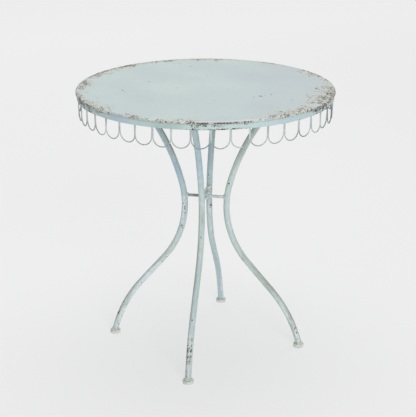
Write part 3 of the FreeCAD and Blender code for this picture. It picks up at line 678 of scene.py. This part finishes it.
def fringe(first, count, seed):
    """Points of loops first to first + count - 1, and each loop's direction outwards.

    A point is outwards times the plane's distance + across times u + up times z. Below the band
    each loop is stretched, leaned and swung by seeded amounts that grow with the drop."""
    draw = np.random.default_rng(seed)
    turn = np.radians((first + np.arange(count)) * LOOP_PITCH)[:, None]
    drop = ((BAND_LOW - loop_z) / (BAND_LOW - LOOP_BOTTOM)).clip(0)[None]
    wider = loop_u * (1 + 0.015 * draw.normal(size=(count, 1)) * drop)
    u = wider + 0.7 * draw.normal(size=(count, 1)) * drop
    z = loop_z + draw.uniform(0, 1, (count, 1)) * drop
    out = LOOP_PLANE + 1.1 * draw.normal(size=(count, 1)) * drop ** 1.5
    x = out * np.cos(turn) - u * np.sin(turn)
    y = out * np.sin(turn) + u * np.cos(turn)
    across = np.stack([np.cos(turn), np.sin(turn), 0 * turn], -1)
    return np.stack([x, y, z], -1), across


print("loops:", LOOPS, "each", len(loop_u), "points; half width", round(LOOP_HALF, 2))

# %% the four groups of loops
GROUP = LOOPS // len(SIDES)

wire_enamel = chipped_enamel(
    "grey_green_enamel_on_wire", ["#c3cecb", "#a9b3b0", "#69777a"], wear=0.02, chip=3.2,
    grain=0.08, drift=0.7, patch=28.0, rust=("#8f8c84", "#7a756c", "#625c54"), primer="#c9ccc5",
    dark="#45403a")
for side, degrees in SIDES.items():
    line, across = fringe(round(degrees / LOOP_PITCH) - GROUP // 2, GROUP, 310 + degrees)
    wires = bar(line, across, WIRE_RADIUS, 10)
    low_part = 1 - rise(wires[..., 2], 685.5, 712)
    hand = 0.42 * low_part + 0.35 * rise(wires[..., 2], 726, 734) + 0.25 * ripple(wires, 34, 33)
    upwards = wires[..., 2] - line[:, :, None, 2]
    # A higher tone is a darker wire. The upper side of each wire is painted lighter and its
    # underside darker: painted light and shade.
    tone = 0.25 + 0.42 * low_part + 0.30 * ripple(wires, 60, 34) - 0.25 * upwards / WIRE_RADIUS
    # The loops nearest the two ends of the table along X get a darker tone: painted shade.
    tone = tone + 0.65 * rise(np.abs(wires[..., 0]), 316, 338)
    group = skin(f"wire_loops_{side}", wires, worn=hand, tint=tone)
    dress(group, wire_enamel, "wire_enamel", f"scallop_loops_{side}")
    print("loops", side, len(group.data.polygons), "faces")

# %% [markdown]
# ## Lumps of weld
#
# Everything here was stuck together with quick beads of weld and painted over. A bead is a small
# smooth lump, never a ball: a sphere's grid, stretched along the joint, with each point pushed in
# or out by a ripple. Round a tube it is a ring whose thickness swells and shrinks.

# %% lumps and rings of weld
def lumps(centres, sizes, seed, across=(1.0, 0, 0), rings=10, around=14):
    """Rippled ellipsoids: centre + (size times a unit direction) times 1 + 0.22 times a ripple.

    sizes are half sizes along each lump's own across, a second level direction at right angles to
    it, and up."""
    centres = np.atleast_2d(np.asarray(centres, float))
    sizes = np.broadcast_to(np.asarray(sizes, float), centres.shape)
    across = np.broadcast_to(across, centres.shape)
    level = np.stack([-across[:, 1], across[:, 0], 0 * across[:, 0]], -1)
    tilt = np.linspace(0.12, np.pi - 0.12, rings)[:, None]
    angle = np.arange(around) * 2 * np.pi / around
    ball = np.stack([np.sin(tilt) * np.cos(angle), np.sin(tilt) * np.sin(angle),
                     np.broadcast_to(np.cos(tilt), (rings, around))], -1)
    shape = ball * sizes[:, None, None, :]
    place = (shape[..., :1] * across[:, None, None] + shape[..., 1:2] * level[:, None, None]
             + shape[..., 2:] * UP)
    swell = 1 + 0.22 * ripple(place + centres[:, None, None] * 3.1, 2.2 * sizes.mean(), seed)
    return centres[:, None, None] + place * swell[..., None]


def ring_bead(centre, up, across, major, minor, seed, steps=40, sides=12):
    """A bead round a tube: a circle of radius minor carried round one of radius major, rippled."""
    other = np.cross(up, across)
    turn = np.arange(steps)[:, None] * 2 * np.pi / steps
    angle = np.arange(sides) * 2 * np.pi / sides
    spoke = np.cos(turn)[..., None] * across + np.sin(turn)[..., None] * other
    rough = centre + major * spoke
    fat = minor * (1 + 0.28 * ripple(rough, 9, seed))
    return rough + fat[..., None] * (np.cos(angle)[:, None] * spoke + np.sin(angle)[:, None] * up)


def weld(name, grid, finish, slot, worn, tint, seed, looped=False):
    """A piece of weld. worn and tint are each (middle, swing, wavelength in mm) of a ripple."""
    wear = worn[0] + worn[1] * ripple(grid, worn[2], seed)
    tone = tint[0] + tint[1] * ripple(grid, tint[2], seed + 1)
    dress(skin(name, grid, looped=looped, worn=wear, tint=tone), finish, slot)


print("helpers ready: lumps, ring_bead, weld")

# %% welds at the loops' tips
weld_enamel = chipped_enamel(
    "enamel_over_weld", ["#cdd3cd", "#bcc6c4", "#aab5b4"], wear=0.03, drift=0.9, patch=12.0)
tip_angle = np.radians((np.arange(LOOPS) + 0.5) * LOOP_PITCH)
tip_out = np.stack([np.cos(tip_angle), np.sin(tip_angle), 0 * tip_angle], -1)
tip_draw = np.random.default_rng(41)
tip_place = tip_out * 344.0 + UP * tip_draw.uniform(733.0, 737.0, (LOOPS, 1))
tip_wide = tip_draw.uniform(3.0, 4.2, LOOPS)
tip_tall = tip_draw.uniform(2.6, 4.4, LOOPS)
tip_size = np.stack([np.full(LOOPS, 1.7), tip_wide, tip_tall], -1)
tip_grid = lumps(tip_place, tip_size, 42, across=tip_out)
weld("loop_tip_welds", tip_grid, weld_enamel, "rim_enamel", (0.35, 0.4, 60), (0.4, 0.4, 50), 43)
print("welds at the loop tips:", LOOPS)

# %% [markdown]
# ## The legs
#
# Each leg is one 17 mm tube bent in a flat plane through the table's axis. From the floor it leans
# in, curves over a wide bend, runs straight up the shin, curves back round the waist and opens
# gently to the top. The line is built as a bender would set it out: a lean, a length, then the
# centre of the next bend at right angles.

# %% the line of a leg
TUBE_RADIUS, TUBE_LOW, TUBE_HIGH, FOOT_REACH = 8.5, 10.0, 745.5, 271.1
FOOT_LEAN, SHIN_LEAN, SHOULDER_LEAN = np.radians([12.5, 40.4, -14.7])
LOW_BEND, WAIST_BEND, UPPER_BEND, SHIN_RUN, HEEL_RUN = 390.0, 253.5, 587.0, 107.0, 8.0
LEG_SPACING = 4.0


def along(start, lean, length):
    """The point that far up a line leaning in towards the axis by that angle."""
    return np.array([start[0] - length * np.sin(lean), start[1] + length * np.cos(lean)])


def beside(start, lean, distance):
    """The point at right angles to that line, outwards for a plus distance."""
    return np.array([start[0] + distance * np.cos(lean), start[1] + distance * np.sin(lean)])


def bend_points(centre, radius, start, stop):
    """Points on a bend from one angle to another, in radians, about LEG_SPACING apart."""
    count = round(abs(stop - start) * radius / LEG_SPACING)
    return arc(centre, radius, np.degrees(start), np.degrees(stop), count)


def leg_line():
    """Points (reach from the axis, height) along one leg: bend, straight shin, bend, bend."""
    heel = along((FOOT_REACH, TUBE_LOW), FOOT_LEAN, -HEEL_RUN)
    low_centre = beside(heel, FOOT_LEAN, -LOW_BEND)
    shin_low = beside(low_centre, SHIN_LEAN, LOW_BEND)
    shin_high = along(shin_low, SHIN_LEAN, SHIN_RUN)
    waist_centre = beside(shin_high, SHIN_LEAN, WAIST_BEND)
    upper_centre = beside(waist_centre, SHOULDER_LEAN, UPPER_BEND - WAIST_BEND)
    last = np.pi - np.arcsin((TUBE_HIGH - upper_centre[1]) / UPPER_BEND)
    share = np.linspace(0, 1, round(SHIN_RUN / LEG_SPACING))[1:-1, None]
    line = np.concatenate([
        heel[None],
        bend_points(low_centre, LOW_BEND, FOOT_LEAN, SHIN_LEAN),
        shin_low + share * (shin_high - shin_low),
        bend_points(waist_centre, WAIST_BEND, np.pi + SHIN_LEAN, np.pi + SHOULDER_LEAN),
        bend_points(upper_centre, UPPER_BEND, np.pi + SHOULDER_LEAN, last),
    ])
    return line[line[:, 1] >= TUBE_LOW - 1.5]


leg_rz = leg_line()
waist = leg_rz[leg_rz[:, 0].argmin()]
print("points on a leg:", len(leg_rz), "waist at", waist.round(1), "top", leg_rz[-1].round(2))

# %% [markdown]
# The four legs don't wear alike. Knees rub the waists, shoes scuff the shins, and each lower end
# stood in the wet. A patch is written as its height, its half length, the way it faces and its
# strength: SCUFFS are chipped, RUBBED is thin to the primer, and GRIME_AND_SHADE is old dirt and,
# on the sides that face left, painted shade; it lowers the tint. A leg's tint drifts from a greener
# grey low down to a bluer, darker one under the top, which is partly painted shade under the top,
# and dust and painted shade under the top darken the inner side of its upper bend.

# %% where the legs have worn
SCUFFS = {
    "front": [(112, 7, -49, 1.12), (99, 7, -50, 1.15), (86, 7, -52, 1.25), (73, 8, -54, 1.25),
              (60, 7, -57, 1.1), (80, 50, -90, 0.72), (70, 52, -128, 0.90), (60, 30, -80, 0.80),
              (158, 3, -88, 1.3), (295, 3, -112, 1.5), (348, 3, -85, 1.5), (580, 3, -62, 1.5),
              (537, 8, -90, 0.6), (30, 40, -110, 0.72)],
    "left": [(400, 42, -84, 0.80), (348, 13, -84, 1.00), (180, 70, -80, 0.52),
             (82, 36, -130, 0.92), (245, 30, -60, 0.55), (40, 30, -60, 0.6)],
    "right": [(60, 50, -60, 0.72), (486, 3, -105, 1.3), (20, 15, -120, 0.8), (250, 60, -90, 0.5)],
    "back": [(430, 22, -70, 0.95), (400, 14, -50, 0.92), (480, 12, -100, 0.7),
             (60, 60, -60, 0.5), (250, 60, -110, 0.45)],
}
RUBBED = {
    "front": [(60, 70, -110, 0.55), (537, 10, -95, 0.55), (200, 60, -60, 0.3)],
    "left": [(190, 110, -40, 1.00), (200, 60, -100, 0.6), (60, 50, -60, 0.8), (400, 50, -100, 0.8)],
    "right": [(120, 90, -120, 0.6), (40, 40, -60, 0.8), (400, 70, -80, 0.35)],
    "back": [(60, 60, -50, 0.7), (430, 60, -60, 0.6), (300, 50, -60, 0.4)],
}
GRIME_AND_SHADE = {
    "front": [(90, 90, -166, 0.55), (300, 190, -168, 0.50), (395, 60, -80, 0.10)],
    "left": [(120, 130, 178, 0.50), (300, 120, 178, 0.25)],
    "right": [(350, 190, -170, 0.60), (215, 60, -80, 0.25), (120, 120, 0, 0.35),
              (590, 110, -95, 0.42)],
    "back": [(470, 210, -4, 0.42), (200, 140, -4, 0.35)],
}
# Low and high tint of each leg; the high one, and the back leg's dark tint, are partly painted
# shade under the top.
LEG_TINT = {"front": (0.52, 0.84), "left": (0.62, 0.90), "right": (0.50, 0.56), "back": (0.85, 1.0)}
INNER_DUST_AND_SHADE = {"front": 0.5, "left": 0.75, "right": 0.75, "back": 0.12}
print("scuffs:", {side: len(rows) for side, rows in SCUFFS.items()})


# %% the skin of a leg
LEG_SIDES = 36


def leg_surface(degrees, seed):
    """One leg's grid, the way each point of its skin faces, and its place along a straight tube."""
    out, flat = compass(degrees)
    line = leg_rz[:, :1] * out + leg_rz[:, 1:] * UP
    round_bar = bar(line, flat, TUBE_RADIUS, LEG_SIDES)
    uneven = 0.10 * ripple(round_bar, 30, seed) + 0.05 * ripple(round_bar, 9, seed + 1)
    reach = round_bar - line[:, None]
    facing = np.degrees(np.arctan2(reach[..., 1], reach[..., 0]))
    length = np.concatenate([[0], np.cumsum(np.linalg.norm(np.diff(line, axis=0), axis=1))])
    angle = np.arange(LEG_SIDES) * 2 * np.pi / LEG_SIDES
    drawn_out = 0.6 * length[:, None] + 1000 * (seed % 7)
    x, y = TUBE_RADIUS * np.cos(angle), TUBE_RADIUS * np.sin(angle)
    rolled = np.stack(np.broadcast_arrays(x, y, drawn_out), -1) * MM
    grid = line[:, None] + reach * (1 + uneven[..., None] / TUBE_RADIUS)
    return grid, facing, rolled


def patches(height, facing, table):
    """The strongest of several patches; a row is (height, half length, way faced, strength).

    Along the tube it falls off as exp(-|h / half|^2.5), round it as exp(-(turn / spread)^2), and a
    short one is narrow too."""
    found = np.zeros(height.shape)
    for middle, half, way, strength in table:
        away = (facing - way + 180) % 360 - 180
        spread = min(48, 12 + 3 * half)
        lengthwise = strength * np.exp(-np.abs((height - middle) / half) ** 2.5)
        found = np.maximum(found, lengthwise * np.exp(-(away / spread) ** 2))
    return found


print("helpers ready: leg_surface, patches")

# %% the legs
# Tint 0 is a dark grey-green, which dirt and painted shade bring the tube towards; tint 1 is a
# darker blue.
leg_enamel = chipped_enamel(
    "brushed_blue_grey_enamel_on_tube", ["#979f96", "#c0cfcb", "#a8c0cb"], chip=2.6, grain=0.085,
    drift=0.55, patch=34.0, primer="#d2dcde", rust=("#868989", "#696b6a", "#50504d"),
    dark="#3b3936", place_mark="rolled")
for side, degrees in SIDES.items():
    grid, facing, rolled = leg_surface(degrees, 50 + degrees)
    height = grid[..., 2]
    damp = 0.22 * (1 - rise(height, 10, 140))
    scuffed = patches(height, facing, SCUFFS[side]) * (1 + 0.3 * ripple(grid, 12, 71))
    stroke = ripple(rolled / MM * [1, 1, 0.08], 13, 73)
    pale = patches(height, facing, RUBBED[side])
    pale = pale + 0.32 * ripple(rolled / MM * [1, 1, 0.11], 11, 74)
    low_tint, high_tint = LEG_TINT[side]
    # Towards the top the tint rises to a bluer, darker enamel: its colour, and painted shade under
    # the top.
    tint = low_tint + (high_tint - low_tint) * rise(height, 300, 560)
    tint = tint + 0.12 * ripple(grid, 90, 72) + 0.24 * stroke
    # Where the upper bend faces in under the top, dust and painted shade under the top lower the
    # tint.
    inner = np.cos(np.radians(facing - degrees - 180)).clip(0) * rise(height, 430, 600)
    tint = tint - INNER_DUST_AND_SHADE[side] * rise(inner, 0.45, 0.95)
    # GRIME_AND_SHADE: patches of old dirt, and on the sides that face left painted shade, lower the
    # tint.
    tint = tint - patches(height, facing, GRIME_AND_SHADE[side])
    leg = skin(f"tube_leg_{side}", grid, worn=np.maximum(damp, scuffed), tint=tint.clip(0, 1),
               pale=pale.clip(0), rolled=rolled)
    dress(leg, leg_enamel, "leg_enamel", f"leg_{side}")
    print("leg", side, len(leg.data.polygons), "faces")

# %% [markdown]
# ## Disc feet and their welds
#
# Each leg stands on a turned steel disc, rounded at the top edge. The tube leans into it, so the
# ring of weld round the joint is uneven. The paint here has gone cream with scuffing and the
# crevice holds dirt.

# %% the section of a foot
FOOT_RADIUS, FOOT_HEIGHT, FOOT_TOP_ROUND, FOOT_SOLE_ROUND = 15.0, 10.0, 2.6, 1.6

sole_centre = (FOOT_RADIUS - FOOT_SOLE_ROUND, FOOT_SOLE_ROUND)
brow_centre = (FOOT_RADIUS - FOOT_TOP_ROUND, FOOT_HEIGHT - FOOT_TOP_ROUND)
foot_section = np.concatenate([
    np.linspace((2, 0), (sole_centre[0], 0), 6),
    arc(sole_centre, FOOT_SOLE_ROUND, -90, 0, 5),
    [(FOOT_RADIUS, 3.4), (FOOT_RADIUS, 5.6)],
    arc(brow_centre, FOOT_TOP_ROUND, 0, 90, 6),
    np.linspace((brow_centre[0] - 1.4, FOOT_HEIGHT), (2, FOOT_HEIGHT), 6),
])
print("rings in a foot:", len(foot_section))

# %% the feet
DISC_STEPS, CREASE_RADIUS, CREASE_WIDTH = 48, 11.5, 1.8

foot_enamel = chipped_enamel(
    "cream_worn_enamel_on_foot", ["#d9dbcf", "#cfd4cb", "#bcc6c2"], wear=0.02, grain=0.07,
    drift=0.8, patch=16.0, primer="#dcddd2", dark="#4a463f",
    rust=("#9a988e", "#827f75", "#68645b"))
for side, degrees in SIDES.items():
    out, flat = compass(degrees)
    disc = turned(foot_section, DISC_STEPS)
    disc[..., :2] *= (1 + 0.012 * ripple(disc + out * 300, 14, 81))[..., None]
    disc = disc + out * FOOT_REACH
    radius = np.linalg.norm((disc - out * FOOT_REACH)[..., :2], axis=-1)
    crease = np.exp(-((radius - CREASE_RADIUS) / CREASE_WIDTH) ** 2)
    worn = 0.45 * crease * (disc[..., 2] > 8) + 0.28 * (disc[..., 2] < 1.4)
    worn = worn + 0.35 * ripple(disc, 12, 82)
    foot = skin(f"disc_foot_{side}", disc, worn=worn, tint=0.25 + 0.35 * ripple(disc, 22, 83))
    dress(foot, foot_enamel, "foot_enamel", f"foot_{side}")
    lean = UP * np.cos(FOOT_LEAN) - out * np.sin(FOOT_LEAN)
    joint = out * (FOOT_REACH + 0.2) + [0, 0, FOOT_HEIGHT + 0.5]
    bead = ring_bead(joint, lean, flat, 9.0, 1.9, 84 + degrees)
    weld(f"foot_weld_{side}", bead, foot_enamel, "foot_enamel", (0.30, 0.45, 9), (0.3, 0.4, 12),
         85, looped=True)
print("feet:", len(SIDES))

# %% [markdown]
# ## The crossed rods at the waist
#
# One 8 mm rod runs from side to side through the waist, and two half rods meet it from front and
# back. Where they cross there is a thick lump of weld, and each end is welded to the inner face of
# its leg: a ring of weld, with a drip of it under the rod.

# %% the rods
ROD_RADIUS, ROD_HEIGHT, ROD_END, ROD_GAP = 4.0, 443.0, 53.16, 1.5
ROD_STEPS, ROD_SIDES = 34, 20

brace_enamel = chipped_enamel(
    "grey_enamel_on_rod", ["#d0d8d5", "#aab4b1", "#7c8381"], grain=0.08, drift=0.6, patch=22.0,
    rust=("#98968d", "#807c73", "#6a655c"))


def rod(name, start, stop, node, seed):
    """A straight rod between two places on the rods' level, with a faint ripple in its radius."""
    share = np.linspace(0, 1, ROD_STEPS)[:, None]
    line = np.array([*start, ROD_HEIGHT]) * (1 - share) + np.array([*stop, ROD_HEIGHT]) * share
    grid = bar(line, UP, ROD_RADIUS, ROD_SIDES)
    reach = grid - line[:, None]
    grid = line[:, None] + reach * (1 + 0.03 * ripple(grid, 10, seed))[..., None]
    below = -reach[..., 2] / ROD_RADIUS
    worn = 0.25 + 0.3 * ripple(grid, 16, seed + 1) + 0.2 * below
    # The rod's underside and the half at minus X get a darker tint: painted shade.
    tint = 0.12 + 0.15 * ripple(grid, 40, seed + 2) + 0.25 * below + 0.55 * (grid[..., 0] < -3)
    dress(skin(name, grid, worn=worn, tint=tint), brace_enamel, "brace_enamel", node)


rod("waist_rod_across", (-ROD_END - 2, 0), (ROD_END + 2, 0), "brace_rod_across", 91)
rod("waist_rod_front", (0, -ROD_END - 2), (0, -ROD_GAP), "brace_rod_front", 94)
rod("waist_rod_back", (0, ROD_GAP), (0, ROD_END + 2), "brace_rod_back", 97)
print("rods: 3, each", ROD_STEPS * ROD_SIDES, "points")

# %% the welds of the rods
CROSSING = [
    ((0, 0, 443.5), (10.0, 9.0, 7.6)), ((-7, 4, 446), (6.5, 5.5, 5.0)),
    ((6, -5, 440), (6.0, 5.6, 5.2)), ((2, 46, 450), (8.5, 6.5, 9.5)),
    ((-5, 48, 441), (7.0, 5.6, 8.5)), ((1, 49, 430), (6.5, 4.6, 7.5)),
]

for side, degrees in SIDES.items():
    out = compass(degrees)[0]
    joint = out * (ROD_END - 1.3) + UP * ROD_HEIGHT
    bead = ring_bead(joint, out, UP, 4.4, 2.7, 101 + degrees, steps=28, sides=10)
    weld(f"waist_weld_{side}", bead, weld_enamel, "brace_enamel", (0.15, 0.4, 8), (0.1, 0.4, 9),
         102, looped=True)
    drip_place = out * (ROD_END + 0.2) + UP * (ROD_HEIGHT - 3.6)
    drip = lumps(drip_place, (3.0, 6.2, 4.8), 104 + degrees, across=out)
    weld(f"waist_weld_lump_{side}", drip, weld_enamel, "brace_enamel", (0.2, 0.4, 8),
         (0.1, 0.3, 9), 105)
places, sizes = zip(*CROSSING)
cross_grid = lumps(places, sizes, 111, rings=14, around=20)
weld("crossing_welds", cross_grid, weld_enamel, "brace_enamel", (0.22, 0.5, 12), (0.25, 0.5, 10),
     112)
print("rings of weld:", len(SIDES), "lumps:", len(SIDES) + len(CROSSING))

# %% [markdown]
# ## Under the top
#
# Two crossed flat bars carry the sheet, and each leg ends on a small plate screwed up to its bar.
# Their plain shapes are right in the frame, so they keep their solids and only get finishes: the
# blue enamel, thinner here, and zinc plate on screws and washers, with its faint spangle.

# %% bars and plates
frame_enamel = chipped_enamel(
    "thin_blue_enamel_on_frame", ["#9fb4ba", "#97acb4", "#8fa3ac"], wear=0.05, chip=4.0,
    grain=0.07, drift=1.0, patch=35.0)
bars = ["top_bar_across", "top_bar_front", "top_bar_back"]
for node in [*bars, *(f"leg_plate_{side}" for side in SIDES)]:
    coat(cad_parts[node], frame_enamel)
print("enamelled:", len(bars), "bars and", len(SIDES), "plates")

# %% screws and washers
SPANGLE_GRAIN = 2.5

zinc, tree = new_finish("bright_zinc_plate")
here = {"Vector": add(tree, "TexCoord").outputs["Object"]}
spangle = add(tree, "TexNoise", {"Scale": per_mm(SPANGLE_GRAIN), "Detail": 4.0}, here)
zinc_tones = ((0.35, "#a9acab"), (0.55, "#c4c7c6"), (0.72, "#8f8a80"))
tarnish = add(tree, "ValToRGB", {"stops": zinc_tones}, {"Fac": spangle})
dull = add(tree, "MapRange", {"To Min": 0.32, "To Max": 0.62}, {"Value": spangle})
relief = add(tree, "Bump", {"Strength": 0.2, "Distance": 0.0002}, {"Height": spangle})
shell = add(tree, "BsdfPrincipled", {"Metallic": 1.0},
            {"Base Color": tarnish, "Roughness": dull, "Normal": relief})
add(tree, "OutputMaterial", links={"Surface": shell})
for node in ("plate_screws", "plate_washers"):
    coat(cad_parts[node], zinc)
print("zinc plated: screws and washers")

# %% [markdown]
# Each leg is welded to its plate all round, and each bar's end is tacked to the band three times.

# %% welds under the top
PLATE_LOW, LEG_TOP_REACH, TACK_REACH, TACK_HEIGHT = 745.5, float(leg_rz[-1, 0]), 343.2, 749.2

for side, degrees in SIDES.items():
    out, flat = compass(degrees)
    joint = out * (LEG_TOP_REACH - 0.4) + UP * (PLATE_LOW - 0.9)
    bead = ring_bead(joint, UP, flat, 9.3, 1.8, 121 + degrees)
    weld(f"plate_weld_{side}", bead, frame_enamel, "frame_enamel", (0.25, 0.3, 9),
         (0.5, 0.4, 12), 122, looped=True)
    tacks = [out * TACK_REACH + flat * step * 9 + UP * TACK_HEIGHT for step in (-1, 0.1, 1)]
    tack = lumps(tacks, (2.4, 5.0, 2.6), 131 + degrees, across=out)
    weld(f"bar_end_welds_{side}", tack, frame_enamel, "frame_enamel", (0.3, 0.3, 9),
         (0.5, 0.4, 12), 132)
print("welds under the top:", 2 * len(SIDES))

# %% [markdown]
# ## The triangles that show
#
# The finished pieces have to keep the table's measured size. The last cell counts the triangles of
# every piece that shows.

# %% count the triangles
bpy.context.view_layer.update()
triangles = sum(sum(len(p.vertices) - 2 for p in o.data.polygons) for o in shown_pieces())
print("triangles:", triangles)
